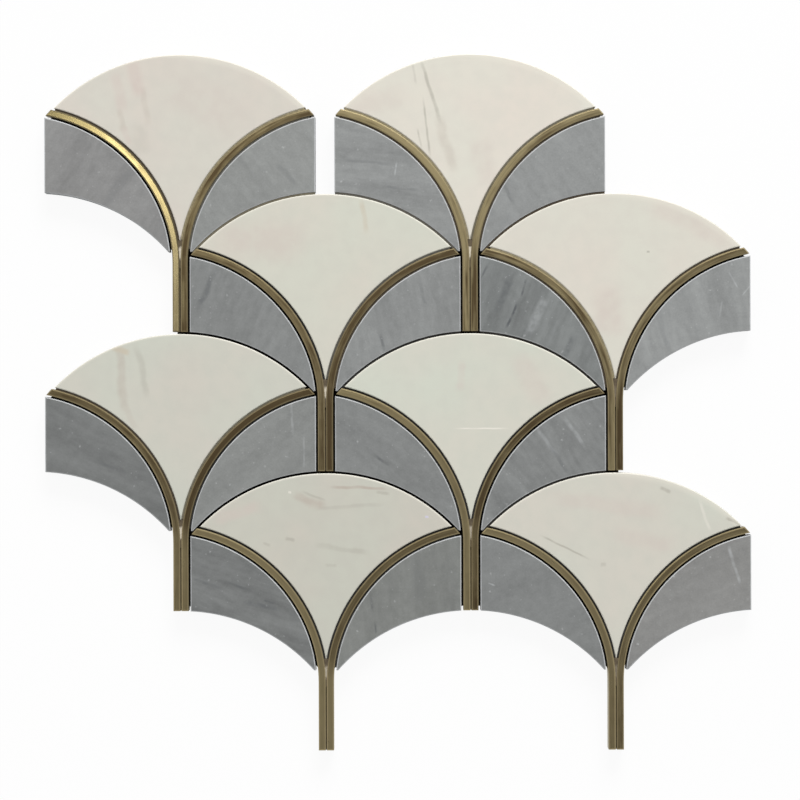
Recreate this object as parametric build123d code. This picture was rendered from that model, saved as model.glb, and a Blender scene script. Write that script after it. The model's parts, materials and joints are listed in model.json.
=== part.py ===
from build123d import *
from math import sqrt
import os

# Fan mosaic sheet, lying face up: white marble fans, grey marble wings and bent brass strips on a glass net.
# Sizes are in millimetres. +Y points up the wall, +Z out of it, and the origin is under the sheet's middle.
# A motif is one fan, the two strips along its sides and the two wings outside them. Its own origin is the
# top of its fan, and every outline is drawn there once.

# Layout of the motifs
column_pitch = 125.0     # between the axes of neighbours in a row
row_pitch = 60.2         # from the top of one row to the top of the next
row_count = 4
motifs_per_row = 2

# Arcs and bends
fan_radius = 75.8        # top arc of a fan
strip_radius = 69.5      # centre line of a strip's main arc
throat_radius = 60.0     # centre line where a strip closes in on its twin
throat_angle = 17.6      # degrees that the throat arc turns
tail_start_drop = 3.9    # from the tips of the wings down to where a strip runs straight
tip_trim = 1.0           # ground off the sharp lower tip of a stone

# Widths of the brass and the joints
strip_width = 3.0
strip_proud = 0.5        # a strip's cut end stands this far above the fan's top arc
side_joint = 0.9         # between stone and brass
row_joint = 1.0          # between a row's top arc and the pieces above it
tail_gap = 0.5           # between the two tails of a motif

# Thicknesses
piece_thickness = 10.0   # stone and brass are ground flush
net_thickness = 0.5
net_inset = 1.5          # the net is trimmed this far inside the outline of the sheet

# Places that follow from those sizes
tail_line = tail_gap / 2 + strip_width / 2
tail_side = tail_gap / 2 + strip_width
half_cell = column_pitch / 2 - tail_side - side_joint
tail_end = row_joint - 2 * row_pitch
cut_radius = fan_radius + strip_proud
seat_radius = fan_radius + row_joint
next_row_centre = -row_pitch - fan_radius
wing_tip = next_row_centre + sqrt(seat_radius**2 - half_cell**2)
throat_centre = Vector(-tail_line - throat_radius, wing_tip - tail_start_drop)
throat_direction = Vector(1, 0).rotate(Axis.Z, throat_angle)
strip_centre = throat_centre + throat_direction * (throat_radius - strip_radius)
sheet_height = (row_count - 1) * row_pitch - tail_end
hung = (Align.CENTER, Align.MAX)


def left_strip_run(half_width):
    """The left strip's course as a band: a quarter of the main arc, the throat arc and the tail."""
    edges = []
    for side in (half_width, -half_width):
        main_arc = CenterArc(strip_centre, strip_radius + side, throat_angle, 90)
        throat_arc = CenterArc(throat_centre, throat_radius + side, 0, throat_angle)
        tail = Line(throat_arc @ 0, (side - tail_line, tail_end))
        edges += [main_arc, throat_arc, tail]
    outer_main, _, outer_tail, inner_main, _, inner_tail = edges
    edges.append(Line(outer_main @ 1, inner_main @ 1))
    edges.append(Line(outer_tail @ 1, inner_tail @ 1))
    return make_face(edges)


def ground(arc_radius, half_width):
    """What lies under a row's arc within a motif's width, down to the end of the tails."""
    arch = Circle(arc_radius)
    arch += Rectangle(2 * arc_radius, -tail_end - fan_radius, align=hung)
    return Pos(0, -fan_radius) * arch & Rectangle(2 * half_width, -tail_end, align=hung)


def next_row(radius):
    """The two discs of the row below that a motif's wings stand on."""
    disc = Pos(column_pitch / 2, next_row_centre) * Circle(radius)
    return disc + mirror(disc, about=Plane.YZ)


def blunted(outline):
    """A stone without its sharp lower tip."""
    tip = outline.bounding_box().min.Y
    return (outline - Pos(0, tip) * Rectangle(column_pitch, 2 * tip_trim)).face()


def stones(arc_radius):
    """Left wing, fan and right wing, parted by the strips and their joints."""
    course = left_strip_run(strip_width / 2 + side_joint)
    field = ground(arc_radius, half_cell) - next_row(seat_radius)
    field -= course + mirror(course, about=Plane.YZ)
    return [blunted(outline) for outline in field.faces().sort_by(Axis.X)]


def strips():
    """Left and right strip, their upper ends cut along the row's arc."""
    left = left_strip_run(strip_width / 2) & ground(cut_radius, half_cell)
    return left.face(), mirror(left.face(), about=Plane.YZ)


def footprint(grow):
    """A motif with its joints closed, grown by the given amount all round."""
    cell = ground(cut_radius + grow, half_cell + grow) - next_row(seat_radius - grow)
    tails = Rectangle(2 * (tail_side + grow), -tail_end - row_pitch + grow, align=hung)
    return cell + Pos(0, -row_pitch) * tails


def motif_places():
    """Each motif's row, letter and top, every second row shifted by half a pitch."""
    for row in range(row_count):
        shift = column_pitch / 4 * (1 if row % 2 else -1)
        for column in range(motifs_per_row):
            x = (column - (motifs_per_row - 1) / 2) * column_pitch + shift
            y = sheet_height / 2 - row * row_pitch
            yield f"r{row + 1}{'abcdefgh'[column]}", Pos(x, y)


def slab(outline):
    """A piece of full thickness that stands on the net."""
    return extrude(Pos(0, 0, net_thickness) * outline, piece_thickness, dir=(0, 0, 1))


def net():
    """The glass net as one thin sheet, trimmed inside the outline that the pieces make together."""
    sheet = Sketch() + [place * footprint(row_joint) for _, place in motif_places()]
    outline = Face(sheet.face().outer_wire())
    return extrude(offset(outline, -row_joint - net_inset), net_thickness, dir=(0, 0, 1))


left_wing, _, right_wing = stones(cut_radius)
_, fan, _ = stones(fan_radius)
left_strip, right_strip = strips()

motif = {
    "white_fan_{}": slab(fan),
    "grey_wing_{}_left": slab(left_wing),
    "grey_wing_{}_right": slab(right_wing),
    "brass_strip_{}_left": slab(left_strip),
    "brass_strip_{}_right": slab(right_strip),
}

os.makedirs("parts", exist_ok=True)
export_step(net(), "parts/backing_net.step")
for label, place in motif_places():
    for node, piece in motif.items():
        export_step(place * piece, f"parts/{node.format(label)}.step")
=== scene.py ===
import json
from collections import namedtuple
from math import cos, pi, radians, sin

import bmesh
import bpy
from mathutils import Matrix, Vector, noise

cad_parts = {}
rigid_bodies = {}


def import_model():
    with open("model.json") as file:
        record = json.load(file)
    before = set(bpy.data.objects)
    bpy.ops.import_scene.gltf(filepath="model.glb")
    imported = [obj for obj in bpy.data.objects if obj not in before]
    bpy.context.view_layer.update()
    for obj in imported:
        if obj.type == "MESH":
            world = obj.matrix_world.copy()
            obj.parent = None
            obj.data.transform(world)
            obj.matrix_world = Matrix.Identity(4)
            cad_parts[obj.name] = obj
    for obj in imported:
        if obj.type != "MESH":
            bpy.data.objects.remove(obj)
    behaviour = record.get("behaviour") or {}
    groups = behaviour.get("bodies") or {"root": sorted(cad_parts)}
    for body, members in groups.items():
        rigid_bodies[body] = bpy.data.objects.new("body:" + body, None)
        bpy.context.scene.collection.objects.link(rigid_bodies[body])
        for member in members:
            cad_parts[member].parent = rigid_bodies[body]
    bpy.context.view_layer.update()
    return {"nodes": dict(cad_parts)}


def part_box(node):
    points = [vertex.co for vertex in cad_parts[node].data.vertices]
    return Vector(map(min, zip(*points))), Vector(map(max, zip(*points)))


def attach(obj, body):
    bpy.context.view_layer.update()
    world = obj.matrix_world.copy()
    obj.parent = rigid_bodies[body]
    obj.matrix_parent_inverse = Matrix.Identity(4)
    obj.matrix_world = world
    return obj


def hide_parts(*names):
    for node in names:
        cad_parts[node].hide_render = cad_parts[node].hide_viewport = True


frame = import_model()

# A fan mosaic sheet of polished stone and brass, face up on the floor, seen from straight above.
# Lengths in the finishes are millimetres, counted from the top of a motif's fan: x to the right, y up.
MM = 0.001

# Ground edges of the pieces: width on the face and depth on the side, in millimetres, and the share of its
# width by which the edge wanders
Arris = namedtuple("Arris", "width depth wander")

FAN_ARRIS = Arris(0.36, 0.2, 0.15)
WING_ARRIS = Arris(0.42, 0.27, 0.15)
STRIP_ARRIS = Arris(0.5, 0.09, 0.0)
ARRIS_RIPPLE = 2.3              # about the length of one wander
ARRIS_SEED = 7                  # fixed, because the noise is otherwise seeded from the clock
EDGE_STEP = 1.2                 # longest step along an edge
CRISP_FROM = radians(6.5)       # edges that turn by more than this stay crisp

FAN_RADIUS = 75.8

# The course of a strip, drawn for the left one: a wide arc, a throat arc and a straight tail
STRIP_RADIUS = 69.5
STRIP_HALF = 1.5
THROAT_RADIUS = 60.0
THROAT_TURN = radians(17.6)
THROAT_LENGTH = THROAT_TURN * THROAT_RADIUS
TAIL_LINE = 1.75
THROAT_DROP = 89.97
THROAT_X = -TAIL_LINE - THROAT_RADIUS
ARC_X = THROAT_X + (THROAT_RADIUS - STRIP_RADIUS) * cos(THROAT_TURN)
ARC_Y = -THROAT_DROP + (THROAT_RADIUS - STRIP_RADIUS) * sin(THROAT_TURN)

# The glass net, in millimetres: flat yarns across it, the weft, and twisted pairs up it, the warp. A yarn has
# a point at every step, and its section has so many sides.
Yarn = namedtuple("Yarn", "width thickness step sides")

WEFT = Yarn(1.0, 0.12, 3.0, 6)
WARP = Yarn(0.5, 0.14, 1.5, 5)
NET_PITCH = 6.0
WARP_TWIST, WARP_RISE = 0.3, 0.15
YARN_DRIFT, DRIFT_LENGTH = 1.2, 40.0

# The joints, in millimetres. A plug fills the room between a motif's two strips. Plugs and seams run along a
# strip's course, counted from the start of its tail, and rows run round a fan's top arc, in degrees.
Plug = namedtuple("Plug", "run top")

RESIN_TOP = 1.6
SIDE_JOINT = 0.9
ROW_JOINT = 1.0
THROAT_PLUG = Plug((9.9, -2.0), 10.25)
TAIL_PLUG = Plug((-2.0, -29.2), 9.2)
FAN_SEAM = (10.0, 89.5)
WING_SEAM = (6.5, 91.0)
ROW_LEFT = (93.3, 138.3)
ROW_RIGHT = (86.7, 41.7)
PLUG_STEPS, SEAM_STEPS, ROW_STEPS = 14, 50, 40
WIPED_DROP = 85.6               # from the top of a fan down to the wiped patch of its plug

# The camera looks straight down. Its place over the sheet, its height over the face and the width that it
# sees there are in millimetres.
CAMERA_PLACE = (0.89, 0.95)
CAMERA_ROLL = -0.16             # degrees
CAMERA_HEIGHT = 1500.0
FRAME_WIDTH = 344.8
SENSOR_WIDTH = 36.0

# The studio, in metres and watts. One clean strip mirrors the glint.
Lamp = namedtuple("Lamp", "name place width length power colour", defaults=((1.0, 1.0, 1.0),))

LAMPS = (
    Lamp("key", (0.5, 3.0, 2.2), 1.9, 1.9, 128.0),
    Lamp("glint", (-0.253, 0.218, 1.7), 0.1, 0.1, 0.07, (1.0, 0.97, 0.72)),
    Lamp("fill", (-0.012, 0.222, 1.7), 0.5, 0.35, 0.22),
)
WALL_LIGHT = (0.56, 0.56, 0.565, 1.0)
CEILING_LIGHT = (0.1, 0.097, 0.094, 1.0)
FLOOR_HALF = 3.0
FLOOR_GLOW = 0.93


def srgb(red, green, blue):
    """A colour as a screen shows it, in the renderer's linear light."""
    shares = [level / 255 for level in (red, green, blue)]
    linear = [s / 12.92 if s <= 0.04045 else ((s + 0.055) / 1.055) ** 2.4 for s in shares]
    return (*linear, 1.0)


def shaded(colour, *shares):
    """A colour with its red, green and blue multiplied."""
    return (*(level * share for level, share in zip(colour, shares)), 1.0)


Motif = namedtuple("Motif", "label x y")
SHEET = Motif("sheet", 0.0, 0.0)

Streak = namedtuple("Streak", "x y turn length width colour strength")

SMOKE = srgb(176, 172, 160)
UMBER = srgb(188, 176, 164)
ROSE = srgb(212, 199, 190)
STRAW = srgb(204, 194, 174)
CHALK = srgb(236, 232, 221)
LILAC = srgb(214, 210, 234)
SLATE = srgb(92, 95, 97)
FROST = srgb(186, 189, 190)

CLEAN_BRASS = srgb(230, 212, 163)
TARNISHED_BRASS = srgb(136, 117, 86)
CUT_BRASS = srgb(142, 136, 116)
SIDE_SEEDS = {"left": 11.0, "right": 47.0}

# The dark and the light of the jet marks on a stone's sides, the painted glow of light that shows through a
# fan's edge, and where stone is paler than its face
WHITE_CUT = (srgb(196, 190, 176), srgb(224, 220, 210))
GREY_CUT = (srgb(112, 115, 116), srgb(160, 163, 164))
PAINTED_ARC_GLOW = srgb(236, 232, 218)
PALE_ARRIS = srgb(190, 192, 193)
PALE_SPECK = srgb(202, 204, 204)

GLASS_YARN = (srgb(206, 204, 194), srgb(240, 240, 234))
YARN_SIZING = srgb(214, 205, 180)
DARK_RESIN, PALE_RESIN = srgb(38, 33, 26), srgb(74, 64, 50)
BROWN_RESIN, WIPED_RESIN = srgb(112, 98, 76), srgb(214, 204, 184)

# The fillers in the joints: colour, and height of the top over the floor in millimetres
Filler = namedtuple("Filler", "colour top")

FILLERS = {
    "soot": Filler(srgb(44, 42, 38), 9.5),
    "sepia": Filler(srgb(64, 54, 38), 10.0),
    "umbra": Filler(srgb(80, 77, 68), 10.1),
    "olive": Filler(srgb(104, 98, 80), 10.1),
    "khaki": Filler(srgb(136, 126, 98), 10.2),
}

# Each fan's colour, lighter towards the top and the right of the sheet: partly the stone's own tone, partly
# painted light
FAN_TONES_WITH_PAINTED_LIGHT = {
    "r1a": srgb(212, 208, 198), "r1b": srgb(221, 217, 206),
    "r2a": srgb(211, 210, 198), "r2b": srgb(218, 214, 203),
    "r3a": srgb(205, 205, 194), "r3b": srgb(210, 211, 199),
    "r4a": srgb(202, 200, 189), "r4b": srgb(209, 208, 197),
}

FAN_STREAKS = {
    "r1a": [
        Streak(-18.9, -10.0, -81, 19, 4.2, ROSE, 0.9),
        Streak(-14.8, -22.3, -82, 19, 2.0, UMBER, 0.26),
        Streak(-17.4, -36.5, -80, 16, 6.0, SMOKE, 0.16),
        Streak(-26.1, -16.5, -80, 21, 3.2, ROSE, 0.55),
        Streak(-25.0, -28.3, -76, 12, 1.9, UMBER, 0.36),
        Streak(-22.8, -34.8, -75, 10, 2.0, ROSE, 0.5),
        Streak(11.0, -21.0, -25, 48, 14.0, ROSE, 0.3),
    ],
    "r1b": [
        Streak(-16.7, -15.9, -73, 34, 1.1, SMOKE, 0.65),
        Streak(-9.9, -39.0, -75, 30, 3.0, UMBER, 0.3),
        Streak(-24.0, -8.0, -80, 12, 0.8, SMOKE, 0.3),
        Streak(-18.5, -31.7, -83, 30, 0.75, SMOKE, 0.62),
        Streak(-21.7, -36.3, -77, 10, 0.7, SMOKE, 0.5),
        Streak(6.0, -46.0, -80, 24, 7.0, ROSE, 0.35),
        Streak(-40.0, -21.0, 20, 34, 7.0, ROSE, 0.3),
    ],
    "r2a": [
        Streak(16.9, -9.6, -80, 17, 1.6, STRAW, 0.65),
        Streak(-28.0, -19.5, -5, 46, 13.0, ROSE, 0.5),
    ],
    "r2b": [
        Streak(14.3, -25.3, 0, 1.6, 0.7, SMOKE, 1.0),
        Streak(33.0, -13.0, -25, 45, 6.0, ROSE, 0.4),
        Streak(-3.0, -51.0, -85, 26, 9.0, ROSE, 0.5),
    ],
    "r3a": [
        Streak(-25.1, -18.8, -86, 33, 2.8, UMBER, 0.5),
        Streak(-21.6, -35.5, -60, 14, 2.2, UMBER, 0.3),
        Streak(-25.8, -6.5, -15, 10, 2.1, STRAW, 0.8),
        Streak(-16.5, -16.2, -79, 26, 2.0, SMOKE, 0.32),
        Streak(4.0, -22.0, -70, 40, 12.0, ROSE, 0.15),
    ],
    "r3b": [
        Streak(4.8, -41.0, 0, 26, 0.5, CHALK, 1.0),
        Streak(26.0, -20.0, -60, 29, 7.0, ROSE, 0.4),
        Streak(-4.0, -18.0, -90, 16, 2.5, ROSE, 0.4),
    ],
    "r4a": [
        Streak(14.4, -6.3, -3, 29, 1.0, UMBER, 0.8),
        Streak(-7.0, -11.6, -22, 17, 2.8, UMBER, 0.6),
        Streak(-5.0, -9.6, -22, 13, 0.8, SMOKE, 0.5),
        Streak(24.6, -8.6, -6, 7, 1.0, SMOKE, 0.6),
        Streak(10.0, -14.3, 4, 36, 1.2, SMOKE, 0.3),
        Streak(7.3, -32.5, -8, 27, 1.7, SMOKE, 0.4),
        Streak(-25.4, -30.2, -20, 4, 0.9, SMOKE, 0.5),
        Streak(-15.4, -28.4, -15, 5, 1.1, SMOKE, 0.55),
        Streak(2.2, -39.6, 0, 6, 1.2, SMOKE, 0.35),
        Streak(-15.5, -8.2, 0, 1.7, 0.8, CHALK, 1.0),
        Streak(-38.0, -17.0, 15, 25, 4.0, ROSE, 0.5),
        Streak(43.6, -19.0, 0, 1.9, 0.8, LILAC, 1.0),
    ],
    "r4b": [
        Streak(-21.8, -32.1, -26, 27, 0.65, SMOKE, 0.7),
        Streak(21.5, -7.3, -22, 6, 1.1, SMOKE, 0.7),
        Streak(51.0, -21.0, -25, 9, 1.0, SMOKE, 1.0),
        Streak(38.4, -18.4, -72, 17, 1.0, CHALK, 0.5),
        Streak(-5.4, -39.8, 0, 3, 1.3, SMOKE, 0.35),
        Streak(-4.0, -14.0, -8, 60, 5.0, ROSE, 0.4),
        Streak(12.0, -29.0, -10, 33, 5.0, ROSE, 0.4),
    ],
}

# The fans whose arc is free on its right half, and how far the painted light that shows through a fan's edge
# reaches, in millimetres, where pieces of the row above stand on it and where it is free
FREE_RIGHT_ARCS = ("r1a", "r1b", "r2b", "r4b")
COVERED_GLOW, FREE_GLOW = 1.2, 3.4

# A wing's tone, lighter towards the top and the right of the sheet, partly the stone's own and partly painted
# light;
# the lie of its grain in degrees, how strong the grain is, and its streaks
Wing = namedtuple("Wing", "tone turn grain streaks")

WINGS = {
    "r1a_left": Wing(srgb(142, 142, 141), 58, 0.55, [Streak(-27.0, -58.0, 55, 30, 3.0, SLATE, 0.25)]),
    "r1a_right": Wing(srgb(146, 148, 146), -52, 0.5, [Streak(46.0, -52.0, -52, 16, 1.6, SLATE, 0.25)]),
    "r1b_left": Wing(srgb(145, 147, 146), -7, 0.8, [
        Streak(-44.0, -46.5, -5, 26, 0.9, SLATE, 0.25),
        Streak(-30.0, -57.8, -6, 18, 0.9, SLATE, 0.32),
        Streak(-32.0, -49.5, -8, 0.9, 3.4, FROST, 0.8),
    ]),
    "r1b_right": Wing(srgb(148, 150, 149), -58, 0.4, [Streak(16.5, -60.0, -62, 12, 1.2, SLATE, 0.35)]),
    "r2a_left": Wing(srgb(134, 136, 135), 68, 0.6, [Streak(-51.0, -41.0, 66, 20, 1.8, SLATE, 0.5)]),
    "r2a_right": Wing(srgb(141, 143, 142), 103, 0.65, [
        Streak(24.5, -64.0, 104, 9, 1.0, SLATE, 0.5),
        Streak(42.0, -43.0, 103, 14, 1.2, SLATE, 0.3),
    ]),
    "r2b_left": Wing(srgb(125, 128, 127), 67, 1.0, [
        Streak(-48.0, -43.5, 68, 20, 2.6, SLATE, 0.6),
        Streak(-44.6, -52.5, 64, 14, 0.8, SLATE, 0.95),
        Streak(-39.4, -40.5, 72, 9, 0.7, SLATE, 0.8),
        Streak(-56.5, -34.0, 62, 9, 0.7, SLATE, 0.7),
        Streak(-20.5, -67.0, 66, 16, 2.2, SLATE, 0.6),
        Streak(-34.0, -53.0, 66, 22, 3.0, FROST, 0.35),
    ]),
    "r2b_right": Wing(srgb(148, 150, 149), 106, 0.6, [
        Streak(51.0, -37.5, -60, 9, 0.5, FROST, 0.55),
        Streak(56.5, -42.0, 50, 7, 0.4, FROST, 0.55),
        Streak(45.5, -50.0, 80, 10, 0.6, FROST, 0.3),
        Streak(21.0, -60.0, 104, 24, 2.0, SLATE, 0.25),
    ]),
    "r3a_left": Wing(srgb(122, 124, 123), -24, 0.7, [Streak(-30.0, -57.0, -24, 18, 1.2, SLATE, 0.35)]),
    "r3a_right": Wing(srgb(140, 142, 140), 40, 0.45, [
        Streak(48.2, -36.5, 92, 16, 0.8, FROST, 0.3),
        Streak(53.2, -51.0, 90, 16, 0.6, FROST, 0.26),
    ]),
    "r3b_left": Wing(srgb(134, 136, 135), -33, 0.55, [Streak(-38.5, -54.5, -35, 10, 0.9, SLATE, 0.6)]),
    "r3b_right": Wing(srgb(134, 136, 135), -55, 0.85, [
        Streak(32.5, -46.0, -55, 20, 1.2, FROST, 0.3),
        Streak(45.0, -43.0, -55, 18, 1.2, FROST, 0.35),
        Streak(38.5, -55.0, -56, 16, 1.1, SLATE, 0.4),
    ]),
    "r4a_left": Wing(srgb(122, 124, 123), -19, 0.95, [
        Streak(-51.0, -47.5, -20, 16, 1.0, SLATE, 0.5),
        Streak(-38.0, -48.5, -19, 14, 0.8, SLATE, 0.5),
        Streak(-28.0, -57.0, -17, 18, 1.4, SLATE, 0.55),
        Streak(-24.5, -55.5, -20, 6, 0.7, SLATE, 0.8),
    ]),
    "r4a_right": Wing(srgb(130, 132, 129), 95, 0.55, [
        Streak(19.3, -55.5, 99, 9, 0.8, SLATE, 0.6),
        Streak(21.2, -66.5, 96, 6, 0.6, SLATE, 0.6),
        Streak(40.0, -45.0, 95, 26, 4.0, SLATE, 0.2),
    ]),
    "r4b_left": Wing(srgb(133, 135, 134), 20, 0.35, [Streak(-53.5, -48.0, -20, 4, 0.5, FROST, 0.6)]),
    "r4b_right": Wing(srgb(142, 142, 140), 25, 0.35, [
        Streak(49.9, -36.2, -77, 11, 1.0, FROST, 0.55),
        Streak(52.2, -44.4, -73, 9, 0.9, FROST, 0.5),
    ]),
}

# How tarnished a strip looks on its arc and on its tail, partly tarnish and partly painted reflection; how
# streaky it is, the fillers in its joints with the fan and with the wing, and its roughness
Strip = namedtuple("Strip", "arc tail streaky fan_filler wing_filler rough", defaults=(None, 0.24))

STRIPS = {
    "r1a_left": Strip(0.0, 0.1, 0.9, "sepia", None, 0.08),
    "r1a_right": Strip(0.72, 0.9, 1.8, "khaki", "umbra"),
    "r1b_left": Strip(0.0, 0.35, 2.2, "khaki", "sepia"),
    "r1b_right": Strip(0.3, 0.75, 2.4, "olive", "sepia"),
    "r2a_left": Strip(0.66, 0.76, 1.5, "soot"),
    "r2a_right": Strip(1.0, 1.1, 1.5, "umbra", "sepia"),
    "r2b_left": Strip(0.54, 0.2, 2.4, "khaki", "sepia"),
    "r2b_right": Strip(0.45, 1.05, 2.0, "sepia"),
    "r3a_left": Strip(0.74, 0.32, 1.3, "sepia"),
    "r3a_right": Strip(1.05, 0.22, 0.9, "olive", "soot"),
    "r3b_left": Strip(0.26, 0.14, 1.0, "soot", "soot"),
    "r3b_right": Strip(0.9, 0.79, 1.4, "soot"),
    "r4a_left": Strip(0.09, -0.2, 0.9, "soot"),
    "r4a_right": Strip(0.68, -0.3, 0.9, "soot", "soot"),
    "r4b_left": Strip(0.15, 0.28, 0.9, "soot"),
    "r4b_right": Strip(0.44, 0.46, 1.6, "soot"),
}

# The filler over a fan's top arc, in its left and its right half, where wings of the row above stand
ROW_FILLERS = {
    "r2a": ("olive", "umbra"), "r2b": ("sepia", None),
    "r3b": ("soot", "soot"), "r4b": ("soot", None),
}

# How pale the resin is where it was wiped between the tails, just under a throat
WIPED_THROATS = {
    "r1a": 0.9, "r1b": 1.0, "r2a": 0.9, "r2b": 0.1, "r3a": 0.9, "r3b": 0.55, "r4a": 0.6, "r4b": 0.15,
}


class Value:
    """A socket of a node tree. Arithmetic on it adds Math nodes."""

    def __init__(self, tree, socket):
        self.tree = tree
        self.socket = socket

    def other(self, output):
        """Another output of the same node."""
        return Value(self.tree, self.socket.node.outputs[output])

    def __add__(self, other):
        return self.tree.math("ADD", self, other)

    def __sub__(self, other):
        return self.tree.math("SUBTRACT", self, other)

    def __rsub__(self, other):
        return self.tree.math("SUBTRACT", other, self)

    def __mul__(self, other):
        return self.tree.math("MULTIPLY", self, other)

    def __truediv__(self, other):
        return self.tree.math("DIVIDE", self, other)

    def __gt__(self, other):
        return self.tree.math("GREATER_THAN", self, other)

    def __pow__(self, other):
        return self.tree.math("POWER", self, other)

    def __neg__(self):
        return self.tree.math("MULTIPLY", self, -1.0)

    def __abs__(self):
        return self.tree.math("ABSOLUTE", self)

    __radd__ = __add__
    __rmul__ = __mul__


class Tree:
    """A node tree and the one way in which its nodes are made."""

    def __init__(self, nodes):
        self.nodes = nodes

    def node(self, kind, settings=None, sockets=None, output=0):
        """A node of that kind, with its settings and then its sockets, as the value of one output.

        A list of values goes into one socket that takes many.
        """
        made = self.nodes.nodes.new(kind)
        for name, setting in (settings or {}).items():
            setattr(made, name, setting)
        for name, content in (sockets or {}).items():
            for entry in content if isinstance(content, list) else [content]:
                if isinstance(entry, Value):
                    self.nodes.links.new(entry.socket, made.inputs[name])
                else:
                    made.inputs[name].default_value = entry
        return Value(self, made.outputs[output]) if len(made.outputs) else None

    def math(self, operation, *numbers):
        return self.node("ShaderNodeMath", {"operation": operation}, dict(enumerate(numbers)))

    def vector(self, operation, *vectors):
        return self.node("ShaderNodeVectorMath", {"operation": operation}, dict(enumerate(vectors)))

    def combine(self, x, y, z):
        return self.node("ShaderNodeCombineXYZ", sockets={0: x, 1: y, 2: z})

    def split(self, vector):
        x = self.node("ShaderNodeSeparateXYZ", sockets={0: vector})
        return x, x.other(1), x.other(2)

    def rise(self, amount, low, high):
        """Goes smoothly from 0 to 1 as an amount goes from low to high."""
        ends = {"Value": amount, "From Min": low, "From Max": high}
        return self.node("ShaderNodeMapRange", {"interpolation_type": "SMOOTHSTEP"}, ends)

    def mix(self, share, first, second):
        """A colour between two others."""
        return self.node("ShaderNodeMix", {"data_type": "RGBA"}, {0: share, 6: first, 7: second}, output=2)

    def noise(self, vector, size, detail=2.0):
        """Smooth noise about a half, whose patches are about that many millimetres across."""
        sockets = {"Vector": vector, "Scale": 1 / size, "Detail": detail}
        return self.node("ShaderNodeTexNoise", sockets=sockets)


class Finish(Tree):
    """A material. Its points are in millimetres, on the whole sheet and from the top of one motif."""

    def __init__(self, name, motif=SHEET):
        self.material = bpy.data.materials.new(name)
        self.material.use_nodes = True
        super().__init__(self.material.node_tree)
        self.nodes.nodes.clear()
        place = self.node("ShaderNodeTexCoord", output="Object")
        self.place = self.vector("MULTIPLY", place, (1 / MM,) * 3)
        sheet_x, sheet_y, self.z = self.split(self.place)
        self.x = sheet_x - motif.x
        self.y = sheet_y - motif.y
        facing = self.node("ShaderNodeNewGeometry", output="True Normal")
        self.up = self.split(facing)[2]

    def fade(self, distance, reach, core=0.0):
        """1 out to the core, falling smoothly to 0 at the reach."""
        return 1 - self.rise(distance, core, reach)

    def reach(self, right, above):
        """The length of a way on the face."""
        return self.math("SQRT", right ** 2 + above ** 2)

    def turned(self, degrees, x=0.0, y=0.0):
        """The point's places along and across a direction on the face, counted from a place of the motif."""
        turn = radians(degrees)
        right, above = self.x - x, self.y - y
        along = right * cos(turn) + above * sin(turn)
        across = above * cos(turn) - right * sin(turn)
        return along, across

    def streaked(self, colour, streaks, wander, patches):
        """A colour with streaks drawn over it, their lines wandering and broken into patches."""
        for streak in streaks:
            along, across = self.turned(streak.turn, streak.x, streak.y)
            across = across + wander * min(streak.width, 2.0)
            end = streak.length / 2
            body = self.fade(abs(across), streak.width, streak.width * 0.2)
            shape = body * self.fade(abs(along), end, end * 0.5)
            colour = self.mix(shape * patches * streak.strength, colour, streak.colour)
        return colour

    def specks(self, spacing, size, share):
        """Ragged flecks of about that size, strong or faint, in a share of cells of that spacing."""
        sockets = {"Vector": self.place, "Scale": 1.6, "Detail": 2.0}
        ragged = self.node("ShaderNodeTexNoise", sockets=sockets, output="Color")
        ragged = self.vector("SUBTRACT", ragged, (0.5, 0.5, 0.5))
        ragged = self.vector("MULTIPLY", ragged, (2.0 * size,) * 3)
        sockets = {"Vector": self.vector("ADD", self.place, ragged), "Scale": 1 / spacing}
        distance = self.node("ShaderNodeTexVoronoi", {"voronoi_dimensions": "2D"}, sockets)
        chance, strength, _ = self.split(distance.other("Color"))
        return self.fade(distance, size / spacing) * (chance > 1 - share) * (0.25 + strength * 0.75)

    def jet_marks(self):
        """The upright drag lines that a water jet leaves on a cut side."""
        stretched = self.vector("MULTIPLY", self.place, (1.0, 1.0, 0.06))
        return self.noise(stretched, 0.45, 3.0)

    def finish(self, height, relief, **principled):
        """Closes the material with a bump of that height, its relief in millimetres."""
        dents = {"Height": height, "Strength": 1.0, "Distance": relief * MM}
        bump = self.node("ShaderNodeBump", sockets=dents)
        sockets = {name.replace("_", " "): content for name, content in principled.items()}
        surface = self.node("ShaderNodeBsdfPrincipled", sockets={**sockets, "Normal": bump})
        self.node("ShaderNodeOutputMaterial", sockets={"Surface": surface})
        return self.material


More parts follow.
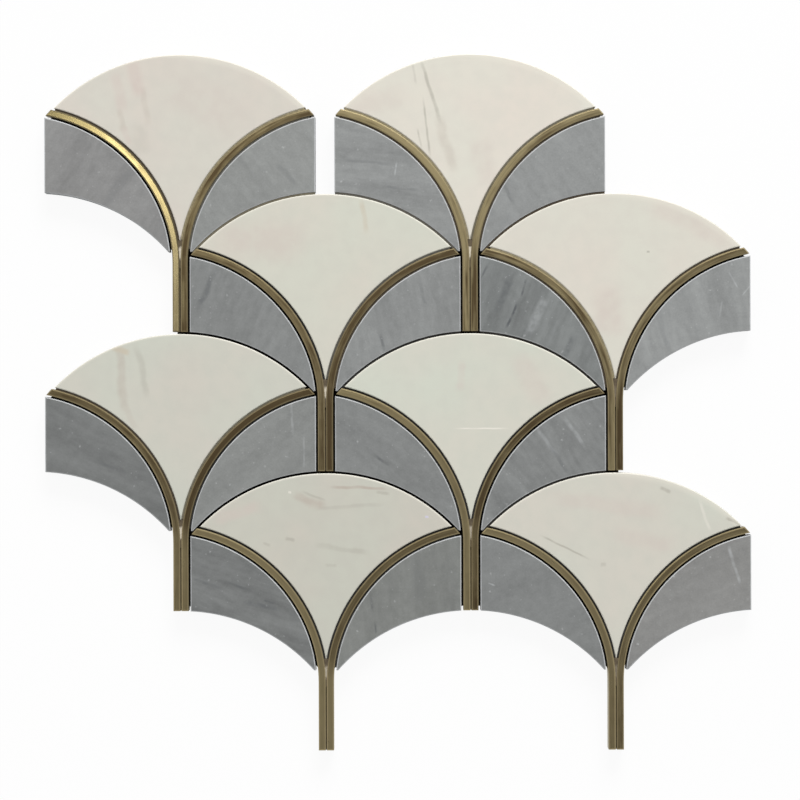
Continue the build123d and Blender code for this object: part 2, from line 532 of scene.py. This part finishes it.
def white_marble(motif):
    """Pale honed marble with rose and green clouds, fine crystals, its own streaks and a painted glow at its
    arc.
    """
    stone = Finish(f"white_marble_{motif.label}", motif)
    # The fan's colour carries painted light as well as the stone's tone
    tone = shaded(FAN_TONES_WITH_PAINTED_LIGHT[motif.label], 1.05, 1.05, 1.05)
    clouds = stone.noise(stone.place, 38.0, 2.0)
    mottle = stone.noise(stone.place, 6.0, 3.0)
    crystals = stone.noise(stone.place, 0.7, 2.0)
    wander = (stone.noise(stone.place, 11.0, 3.0) - 0.5) * 2.0
    patches = 0.65 + 0.35 * stone.rise(mottle, 0.35, 0.62)
    rosy = shaded(tone, 1.015, 0.978, 0.972)
    mossy = shaded(tone, 0.978, 1.004, 0.988)
    face = stone.mix(stone.rise(clouds, 0.3, 0.7), mossy, rosy)
    face = stone.mix(stone.rise(mottle, 0.3, 0.75) * 0.5, face, shaded(tone, 0.93, 0.93, 0.925))
    face = stone.streaked(face, FAN_STREAKS[motif.label], wander, patches)
    face = stone.mix(stone.fade(crystals, 0.55) * 0.12, face, shaded(tone, 0.8, 0.8, 0.78))
    # Painted light: the face is paled near the top arc, as if light showed through the stone's edge
    from_arc = FAN_RADIUS - stone.reach(stone.x, stone.y + FAN_RADIUS)
    glow = COVERED_GLOW
    if motif.label in FREE_RIGHT_ARCS:
        glow = COVERED_GLOW + stone.rise(stone.x, -12.0, 12.0) * (FREE_GLOW - COVERED_GLOW)
    face = stone.mix(stone.fade(from_arc, glow) * 0.55, face, PAINTED_ARC_GLOW)
    cut = 1 - stone.rise(stone.up, 0.1, 0.6)
    jet = stone.jet_marks()
    side = stone.mix(jet, *WHITE_CUT)
    return stone.finish(
        crystals * (1 - cut) * 0.1 + jet * cut, 0.06,
        Base_Color=stone.mix(cut, face, side),
        Roughness=0.36 + mottle * 0.12 + cut * 0.35,
        Specular_IOR_Level=0.3,
    )


def grey_marble(motif, side):
    """Grey marble with a soft grain, dark streaks, pale veins and specks, and arrises ground pale."""
    stone = Finish(f"grey_marble_{motif.label}_{side}", motif)
    wing = WINGS[f"{motif.label}_{side}"]
    along, across = stone.turned(wing.turn)
    wander = (stone.noise(stone.place, 10.0, 3.0) - 0.5) * 2.0
    bent = across + wander * 1.5
    broad = stone.noise(stone.combine(along * 0.16, bent * 0.9, motif.x), 8.0, 3.0)
    fine = stone.noise(stone.combine(along * 0.2, bent, motif.y), 2.2, 4.0)
    mottle = stone.noise(stone.place, 3.5, 4.0)
    crystals = stone.noise(stone.place, 0.8, 2.0)
    patches = 0.35 + 0.65 * stone.rise(mottle, 0.35, 0.6)
    dark, light = shaded(wing.tone, 0.72, 0.72, 0.72), shaded(wing.tone, 1.2, 1.2, 1.2)
    weave = (broad - 0.5) * 1.7 * wing.grain + (fine - 0.5) * 0.9 * wing.grain
    face = stone.mix(0.56 + weave + (mottle - 0.5) * 0.6 + (crystals - 0.5) * 0.45, dark, light)
    face = stone.streaked(face, wing.streaks, wander, patches)
    dots = stone.specks(8.0, 0.7, 0.22) + stone.specks(2.3, 0.42, 0.1) * 0.7
    face = stone.mix(dots * patches * 0.6, face, PALE_SPECK)
    cut = 1 - stone.rise(stone.up, 0.1, 0.6)
    arris = stone.rise(stone.up, 0.3, 0.6) * (1 - stone.rise(stone.up, 0.93, 0.99))
    jet = stone.jet_marks()
    sawn = stone.mix(jet, *GREY_CUT)
    face = stone.mix(arris * (0.6 + mottle * 0.6), face, PALE_ARRIS)
    return stone.finish(
        (crystals * 0.2 + dots * -0.6) * (1 - cut) + jet * cut, 0.06,
        Base_Color=stone.mix(cut, face, sawn),
        Roughness=0.4 + mottle * 0.12 + (cut + arris) * 0.3,
        Specular_IOR_Level=0.3,
    )


def strip_course(metal):
    """The point's places along and across a strip, the right one folded onto the left."""
    folded = -abs(metal.x)

    def about(centre_x, centre_y, radius):
        right, above = folded - centre_x, metal.y - centre_y
        return metal.math("ARCTAN2", above, right), metal.reach(right, above) - radius

    arc_angle, arc_across = about(ARC_X, ARC_Y, STRIP_RADIUS)
    throat_angle, throat_across = about(THROAT_X, -THROAT_DROP, THROAT_RADIUS)
    in_tail = -metal.y > THROAT_DROP
    in_arc = (arc_angle > THROAT_TURN) * (1 - in_tail)
    in_throat = 1 - in_arc - in_tail
    arc_along = (arc_angle - THROAT_TURN) * STRIP_RADIUS + THROAT_LENGTH
    tail_along = metal.y + THROAT_DROP
    along = arc_along * in_arc + throat_angle * THROAT_RADIUS * in_throat + tail_along * in_tail
    across = arc_across * in_arc + throat_across * in_throat + (folded + TAIL_LINE) * in_tail
    return along, across


def brushed_brass(motif, side):
    """Brass bar brushed along its course, its tarnish partly painted reflection, its arrises partly worn
    clean, partly painted highlight.
    """
    metal = Finish(f"brushed_brass_{motif.label}_{side}", motif)
    strip = STRIPS[f"{motif.label}_{side}"]
    along, across = strip_course(metal)
    seed = motif.x + motif.y * 0.37 + SIDE_SEEDS[side]
    hairs = metal.noise(metal.combine(along * 0.02, across * 6.0, seed), 1.0, 3.0)
    bands = metal.noise(metal.combine(along * 0.06, across * 0.8, seed), 1.0, 2.0)
    stains = metal.noise(metal.place, 5.0, 3.0)
    on_arc = metal.rise(along, -6.0, 14.0)
    # The strip's tarnish, whose levels also paint the reflection that makes whole strips darker or lighter
    tarnish_and_painted_reflection = strip.tail + on_arc * (strip.arc - strip.tail)
    tarnish_and_painted_reflection = tarnish_and_painted_reflection + (bands - 0.5) * strip.streaky + (hairs - 0.5) * 0.5 + (stains - 0.5) * 0.5
    cut = 1 - metal.rise(metal.up, 0.1, 0.6)
    arris = metal.rise(metal.up, 0.3, 0.6) * (1 - metal.rise(metal.up, 0.985, 0.998))
    # The arrises are lighter: partly worn clean, partly a painted highlight
    face = metal.mix(tarnish_and_painted_reflection * (1 - arris * 0.5), CLEAN_BRASS, TARNISHED_BRASS)
    face = metal.mix(cut * 0.8, face, CUT_BRASS)
    return metal.finish(
        bands, 0.003,
        Base_Color=face,
        Metallic=1.0,
        Roughness=strip.rough + bands * 0.06 + stains * 0.04 + cut * 0.2,
    )


def glass_yarn(name, run):
    """Pale glass-fibre yarn, its filaments lying along the run."""
    yarn = Finish(name)
    filaments = yarn.noise(yarn.vector("MULTIPLY", yarn.place, run), 0.16, 2.0)
    size = yarn.noise(yarn.place, 14.0, 2.0)
    colour = yarn.mix(filaments, *GLASS_YARN)
    colour = yarn.mix(yarn.rise(size, 0.5, 0.75) * 0.5, colour, YARN_SIZING)
    return yarn.finish(filaments, 0.05, Base_Color=colour, Roughness=0.45 + filaments * 0.2)


def joint_resin(name, dark, pale):
    """Mesh adhesive that rose between the pieces, lumpy and flecked where it dried."""
    resin = Finish(name)
    lumps = resin.noise(resin.place, 1.4, 3.0)
    flecks = resin.noise(resin.place, 0.55, 2.0)
    colour = resin.mix(resin.rise(flecks * 0.6 + lumps * 0.5, 0.5, 0.75), dark, pale)
    return resin.finish(lumps, 0.3, Base_Color=colour, Roughness=0.6 + flecks * 0.25)


def throat_resin(motif):
    """The plug under a fan's tip: brown at the top, then pale where it was wiped between the tails."""
    resin = Finish(f"throat_resin_{motif.label}", motif)
    lumps = resin.noise(resin.place, 1.6, 3.0)
    flecks = resin.noise(resin.place, 0.6, 2.0)
    from_patch = abs(resin.y + WIPED_DROP + (lumps - 0.5) * 3.0)
    wiped = resin.fade(from_patch, 3.2, 1.6) * (0.8 + flecks * 0.4) * WIPED_THROATS[motif.label]
    brown = resin.mix(lumps, FILLERS["sepia"].colour, BROWN_RESIN)
    colour = resin.mix(wiped, brown, WIPED_RESIN)
    return resin.finish(lumps, 0.3, Base_Color=colour, Roughness=0.6 + flecks * 0.25)


def motifs():
    """Each motif with the place of its fan's top."""
    for row in (1, 2, 3, 4):
        for letter in "ab":
            label = f"r{row}{letter}"
            low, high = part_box(f"white_fan_{label}")
            yield Motif(label, (low.x + high.x) / 2 / MM, high.y / MM)


def merged(node):
    """A copy of a CAD piece's mesh with its loose triangles joined."""
    shape = bmesh.new()
    shape.from_mesh(frame["nodes"][node].data)
    bmesh.ops.remove_doubles(shape, verts=shape.verts, dist=1e-3 * MM)
    return shape


def meshed(name, shape):
    """A shape as a plain mesh, without the normals that came with the CAD triangles."""
    mesh = bpy.data.meshes.new(name)
    shape.to_mesh(mesh)
    shape.free()
    if "custom_normal" in mesh.attributes:
        mesh.attributes.remove(mesh.attributes["custom_normal"])
    return mesh


def linked(name, mesh):
    """A mesh as an object of the scene."""
    piece = bpy.data.objects.new(name, mesh)
    bpy.context.scene.collection.objects.link(piece)
    return piece


def smoothed(mesh):
    """Rounds the shading of the bends and keeps the ground edges crisp."""
    mesh.shade_smooth()
    mesh.set_sharp_from_angle(angle=CRISP_FROM)


def face_rim(shape):
    """The edges round the face of a piece."""
    return [edge for edge in shape.edges if sum(part.normal.z > 0.9 for part in edge.link_faces) == 1]


def eased_piece(name, node, arris, material):
    """A piece with the edges of its face ground off by hand, so the arris is nowhere quite even."""
    width, depth = arris.width * MM, arris.depth * MM
    shape = merged(node)
    for edge in face_rim(shape):
        cuts = int(edge.calc_length() / (EDGE_STEP * MM))
        if cuts:
            bmesh.ops.subdivide_edges(shape, edges=[edge], cuts=cuts)
    shape.normal_update()
    face = [part for part in shape.faces if part.normal.z > 0.9]
    bmesh.ops.inset_region(shape, faces=face, thickness=width, use_even_offset=True)
    level = {vert for part in face for vert in part.verts}
    top = max(vert.co.z for vert in level)
    for vert in shape.verts:
        if vert in level:
            shift = noise.noise_vector(vert.co / (ARRIS_RIPPLE * MM)) * arris.wander * width
            vert.co.x += shift.x
            vert.co.y += shift.y
        elif vert.co.z > top - depth:
            vert.co.z -= depth
    mesh = meshed(name, shape)
    smoothed(mesh)
    mesh.materials.clear()
    mesh.materials.append(material)
    piece = linked(name, mesh)
    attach(piece, "root")
    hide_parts(node)


def strip_point(along, across):
    """A point of the left strip, counted from the start of its tail and from its centre line."""
    if along < 0:
        return across - TAIL_LINE, along - THROAT_DROP
    if along < THROAT_LENGTH:
        turn, x, y, radius = along / THROAT_RADIUS, THROAT_X, -THROAT_DROP, THROAT_RADIUS
    else:
        turn = THROAT_TURN + (along - THROAT_LENGTH) / STRIP_RADIUS
        x, y, radius = ARC_X, ARC_Y, STRIP_RADIUS
    return x + (radius + across) * cos(turn), y + (radius + across) * sin(turn)


def arc_point(degrees, out):
    """A point so far outside a fan's top arc."""
    turn = radians(degrees)
    return (FAN_RADIUS + out) * cos(turn), (FAN_RADIUS + out) * sin(turn) - FAN_RADIUS


def filled(shape, motif, edges, high, index):
    """Adds a bar of filler between two edges of a joint, up from the resin at its bottom."""
    rings = []
    for (ax, ay), (bx, by) in edges:
        corners = [(ax, ay, RESIN_TOP), (bx, by, RESIN_TOP), (bx, by, high), (ax, ay, high)]
        places = [((motif.x + x) * MM, (motif.y + y) * MM, z * MM) for x, y, z in corners]
        rings.append([shape.verts.new(place) for place in places])
    sides = [(ring[i], ring[(i + 1) % 4], after[(i + 1) % 4], after[i])
             for ring, after in zip(rings, rings[1:]) for i in range(4)]
    for verts in (*sides, rings[0][::-1], rings[-1]):
        shape.faces.new(verts).material_index = index


def spread(first, last, count):
    """That many places from the first to the last."""
    return [first + (last - first) * step / (count - 1) for step in range(count)]


def cut_round_pieces(name, mesh, tools, material):
    """What is left of a block of resin once the pieces standing in it are taken out."""
    block = linked(name, mesh)
    cutter = block.modifiers.new("pieces", "BOOLEAN")
    cutter.operation = "DIFFERENCE"
    cutter.operand_type = "COLLECTION"
    cutter.collection = tools
    cutter.solver = "EXACT"
    evaluated = block.evaluated_get(bpy.context.evaluated_depsgraph_get())
    left = bpy.data.meshes.new_from_object(evaluated)
    block.modifiers.clear()
    block.data = left
    smoothed(left)
    left.materials.clear()
    left.materials.append(material)
    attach(block, "root")


def resin_in_joints():
    """The adhesive at the bottom of every joint."""
    tools = bpy.data.collections.new("resin_tools")
    for node in frame["nodes"]:
        if node != "backing_net":
            mesh = meshed(f"tool_{node}", merged(node))
            tools.objects.link(bpy.data.objects.new(f"tool_{node}", mesh))
    bpy.context.scene.collection.children.link(tools)

    net_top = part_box("backing_net")[1].z / MM
    bed = merged("backing_net")
    for vert in bed.verts:
        vert.co.z = (net_top if vert.co.z < net_top * MM / 2 else RESIN_TOP) * MM
    mesh = meshed("joint_resin", bed)
    cut_round_pieces("joint_resin", mesh, tools, joint_resin("joint_resin", DARK_RESIN, PALE_RESIN))

    for tool in list(tools.objects):
        bpy.data.objects.remove(tool)
    bpy.data.collections.remove(tools)


def seam_runs(motif):
    """Each joint along a motif's strips and over its arc: its filler and the points on its edges."""
    for hand, side in ((1, "left"), (-1, "right")):
        strip = STRIPS[f"{motif.label}_{side}"]
        for tone, run, out in ((strip.fan_filler, FAN_SEAM, 1), (strip.wing_filler, WING_SEAM, -1)):
            offsets = (out * STRIP_HALF, out * (STRIP_HALF + SIDE_JOINT))
            edges = [[strip_point(along, across) for across in offsets] for along in spread(*run, SEAM_STEPS)]
            yield tone, [[(hand * x, y) for x, y in pair] for pair in edges]
    for turns, tone in zip((ROW_LEFT, ROW_RIGHT), ROW_FILLERS.get(motif.label, ())):
        yield tone, [[arc_point(turn, out) for out in (0.0, ROW_JOINT)] for turn in spread(*turns, ROW_STEPS)]


def seam_filler(all_motifs):
    """What fills joints nearly to the face."""
    tones = list(FILLERS)
    seams = bmesh.new()
    for motif in all_motifs:
        for tone, edges in seam_runs(motif):
            if tone:
                filled(seams, motif, edges, FILLERS[tone].top, tones.index(tone))
    bmesh.ops.recalc_face_normals(seams, faces=seams.faces)
    mesh = meshed("seam_filler", seams)
    for tone, filler in FILLERS.items():
        pale = shaded(filler.colour, 1.5, 1.5, 1.5)
        mesh.materials.append(joint_resin(f"filler_{tone}", filler.colour, pale))
    smoothed(mesh)
    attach(linked("seam_filler", mesh), "root")


def throat_plugs(all_motifs):
    """The resin under each fan's tip and between the two tails below it."""
    for motif in all_motifs:
        shape = bmesh.new()
        for plug in (THROAT_PLUG, TAIL_PLUG):
            points = [strip_point(along, STRIP_HALF) for along in spread(*plug.run, PLUG_STEPS)]
            filled(shape, motif, [((x, y), (-x, y)) for x, y in points], plug.top, 0)
        bmesh.ops.recalc_face_normals(shape, faces=shape.faces)
        mesh = meshed(f"throat_plug_{motif.label}", shape)
        mesh.materials.append(throat_resin(motif))
        smoothed(mesh)
        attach(linked(f"throat_plug_{motif.label}", mesh), "root")


def net_tree(warp, weft):
    """Yarns of a leno net, flat across and twisted in pairs upwards, kept where they lie on the outline."""
    tree = Tree(bpy.data.node_groups.new("leno_net", "GeometryNodeTree"))
    sockets = tree.nodes.interface
    sockets.new_socket("Outline", in_out="INPUT", socket_type="NodeSocketGeometry")
    for name in ("Pitch", "Reach", "Mid height", "Twist", "Rise"):
        sockets.new_socket(name, in_out="INPUT", socket_type="NodeSocketFloat")
    sockets.new_socket("Yarns", in_out="OUTPUT", socket_type="NodeSocketGeometry")
    outline = tree.node("NodeGroupInput")
    pitch, reach, middle = (outline.other(name) for name in ("Pitch", "Reach", "Mid height"))
    twist, rise = outline.other("Twist"), outline.other("Rise")
    yarns_each_way = tree.math("FLOOR", reach * 2 / pitch) + 1
    point = tree.node("GeometryNodeInputPosition")
    x, y, _ = tree.split(point)

    def laid(step, first, across):
        """Straight rows of points, one row to each place across."""
        count = tree.math("FLOOR", reach * 2 / step) + 1
        start = tree.combine(*[-reach if axis else 0.0 for axis in first])
        run = {"Count": count, "Start Location": start, "Offset": tuple(axis * step for axis in first)}
        row = tree.node("GeometryNodeMeshLine", sockets=run)
        place = tree.combine(*[-reach if axis else 0.0 for axis in across])
        gap = tree.combine(*[pitch if axis else 0.0 for axis in across])
        rows = {"Count": yarns_each_way, "Start Location": place, "Offset": gap}
        places = tree.node("GeometryNodeMeshLine", sockets=rows)
        laid_out = tree.node("GeometryNodeInstanceOnPoints", sockets={"Points": places, "Instance": row})
        return tree.node("GeometryNodeRealizeInstances", sockets={"Geometry": laid_out})

    def spun(rows, offset, yarn, material):
        """Rows moved to their weave, trimmed to the outline and given their section."""
        woven = tree.node("GeometryNodeSetPosition", sockets={"Geometry": rows, "Offset": offset})
        ray = {
            "Target Geometry": outline, "Source Position": tree.combine(x, y, 1.0),
            "Ray Direction": (0, 0, -1), "Ray Length": 2.0,
        }
        on_sheet = tree.node("GeometryNodeRaycast", sockets=ray, output="Is Hit")
        off_sheet = tree.node("FunctionNodeBooleanMath", {"operation": "NOT"}, {0: on_sheet})
        kept = tree.node(
            "GeometryNodeDeleteGeometry", {"domain": "POINT"}, {"Geometry": woven, "Selection": off_sheet})
        course = tree.node("GeometryNodeMeshToCurve", sockets={"Mesh": kept})
        level = tree.node("GeometryNodeSetCurveNormal", {"mode": "Z_UP"}, {"Curve": course})
        circle = {"Resolution": yarn.sides, "Radius": 0.5}
        ring = tree.node("GeometryNodeCurvePrimitiveCircle", sockets=circle)
        flat = {"Geometry": ring, "Scale": (yarn.width * MM, yarn.thickness * MM, 1.0)}
        section = tree.node("GeometryNodeTransform", sockets=flat)
        sweep = {"Curve": level, "Profile Curve": section, "Fill Caps": True}
        swept = tree.node("GeometryNodeCurveToMesh", sockets=sweep)
        smooth = tree.node("GeometryNodeSetShadeSmooth", sockets={"Geometry": swept})
        real = tree.node("GeometryNodeRealizeInstances", sockets={"Geometry": smooth})
        return tree.node("GeometryNodeSetMaterial", sockets={"Geometry": real, "Material": material})

    patches = {"Vector": point, "Scale": 1 / (DRIFT_LENGTH * MM), "Detail": 1.0}
    drift = (tree.node("ShaderNodeTexNoise", sockets=patches) - 0.5) * (YARN_DRIFT * MM)
    weft_rows = laid(WEFT.step * MM, (1, 0, 0), (0, 1, 0))
    sets = [spun(weft_rows, tree.combine(0.0, drift, middle), WEFT, weft)]
    phase = y / pitch * pi
    for hand in (1, -1):
        warp_rows = laid(WARP.step * MM, (0, 1, 0), (1, 0, 0))
        sway = tree.math("SINE", phase) * twist * hand + drift
        lift = tree.math("COSINE", phase) * rise * hand + middle
        sets.append(spun(warp_rows, tree.combine(sway, 0.0, lift), WARP, warp))
    joined = tree.node("GeometryNodeJoinGeometry", sockets={"Geometry": sets})
    tree.node("NodeGroupOutput", sockets={"Yarns": joined})
    return tree.nodes


def glass_net():
    """The net under the pieces, as woven yarns trimmed to the CAD outline."""
    warp = glass_yarn("glass_warp", (1.0, 0.03, 1.0))
    weft = glass_yarn("glass_weft", (0.03, 1.0, 1.0))
    low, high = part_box("backing_net")
    net = linked("glass_net", meshed("net_outline", merged("backing_net")))
    weave = net.modifiers.new("weave", "NODES")
    weave.node_group = net_tree(warp, weft)
    sizes = {
        "Pitch": NET_PITCH * MM,
        "Reach": max(high.x, high.y),
        "Mid height": (low.z + high.z) / 2,
        "Twist": WARP_TWIST * MM,
        "Rise": WARP_RISE * MM,
    }
    for socket in weave.node_group.interface.items_tree:
        if socket.name in sizes:
            weave[socket.identifier] = sizes[socket.name]
    evaluated = net.evaluated_get(bpy.context.evaluated_depsgraph_get())
    woven = bpy.data.meshes.new_from_object(evaluated)
    net.modifiers.clear()
    net.data = woven
    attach(net, "root")
    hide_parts("backing_net")


def lay_pieces(all_motifs):
    """Every fan, wing and strip in its own stone or metal."""
    for motif in all_motifs:
        name = motif.label
        eased_piece(f"fan_{name}", f"white_fan_{name}", FAN_ARRIS, white_marble(motif))
        for side in ("left", "right"):
            end = f"{name}_{side}"
            stone, metal = grey_marble(motif, side), brushed_brass(motif, side)
            eased_piece(f"wing_{end}", f"grey_wing_{end}", WING_ARRIS, stone)
            eased_piece(f"strip_{end}", f"brass_strip_{end}", STRIP_ARRIS, metal)


def studio_floor():
    """A white floor that keeps a soft shadow."""
    shape = bmesh.new()
    bmesh.ops.create_grid(shape, x_segments=8, y_segments=8, size=FLOOR_HALF)
    mesh = meshed("studio_floor", shape)
    floor = linked("studio_floor", mesh)
    material = bpy.data.materials.new("studio_floor")
    material.use_nodes = True
    tree = Tree(material.node_tree)
    tree.nodes.nodes.clear()
    seen = tree.node("ShaderNodeLightPath", output="Is Camera Ray")
    mirrored, through = seen.other("Is Glossy Ray"), seen.other("Is Transmission Ray")
    direct = tree.math("MINIMUM", seen + mirrored + through, 1.0)
    paper = tree.node("ShaderNodeBsdfDiffuse", sockets={"Color": (0.9, 0.9, 0.9, 1.0)})
    glow = tree.node("ShaderNodeEmission", sockets={"Color": (1.0, 1.0, 1.0, 1.0), "Strength": 1.0})
    surface = tree.node("ShaderNodeMixShader", sockets={0: direct * FLOOR_GLOW, 1: paper, 2: glow})
    tree.node("ShaderNodeOutputMaterial", sockets={"Surface": surface})
    mesh.materials.append(material)


def studio_world():
    """Pale walls all round and a dim ceiling above the camera, which the flat brass mirrors."""
    world = bpy.data.worlds.new("studio")
    bpy.context.scene.world = world
    world.use_nodes = True
    tree = Tree(world.node_tree)
    tree.nodes.nodes.clear()
    direction = tree.node("ShaderNodeTexCoord", output="Generated")
    overhead = tree.rise(tree.split(direction)[2], 0.8, 0.99)
    light = tree.mix(overhead, WALL_LIGHT, CEILING_LIGHT)
    sky = tree.node("ShaderNodeBackground", sockets={"Color": light, "Strength": 1.0})
    tree.node("ShaderNodeOutputWorld", sockets={"Surface": sky})


def soft_box(lamp):
    """A lamp aimed at the middle of the sheet."""
    data = bpy.data.lights.new(lamp.name, "AREA")
    data.shape = "RECTANGLE"
    data.size = lamp.width
    data.size_y = lamp.length
    data.energy = lamp.power
    data.color = lamp.colour
    box = bpy.data.objects.new(lamp.name, data)
    box.location = lamp.place
    box.rotation_euler = (-Vector(lamp.place)).to_track_quat("-Z", "Y").to_euler()
    bpy.context.scene.collection.objects.link(box)


def studio_camera():
    """A camera that looks straight down and sees the frame's width at the height of the face."""
    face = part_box("white_fan_r1a")[1].z
    data = bpy.data.cameras.new("overhead")
    data.sensor_width = SENSOR_WIDTH
    data.lens = SENSOR_WIDTH * CAMERA_HEIGHT / FRAME_WIDTH
    camera = bpy.data.objects.new("overhead", data)
    camera.location = (CAMERA_PLACE[0] * MM, CAMERA_PLACE[1] * MM, face + CAMERA_HEIGHT * MM)
    camera.rotation_euler.z = radians(CAMERA_ROLL)
    bpy.context.scene.collection.objects.link(camera)
    bpy.context.scene.camera = camera


noise.seed_set(ARRIS_SEED)
every_motif = list(motifs())
resin_in_joints()
seam_filler(every_motif)
throat_plugs(every_motif)
glass_net()
lay_pieces(every_motif)
studio_floor()
studio_world()
for studio_lamp in LAMPS:
    soft_box(studio_lamp)
studio_camera()
bpy.context.scene.view_settings.view_transform = "Standard"
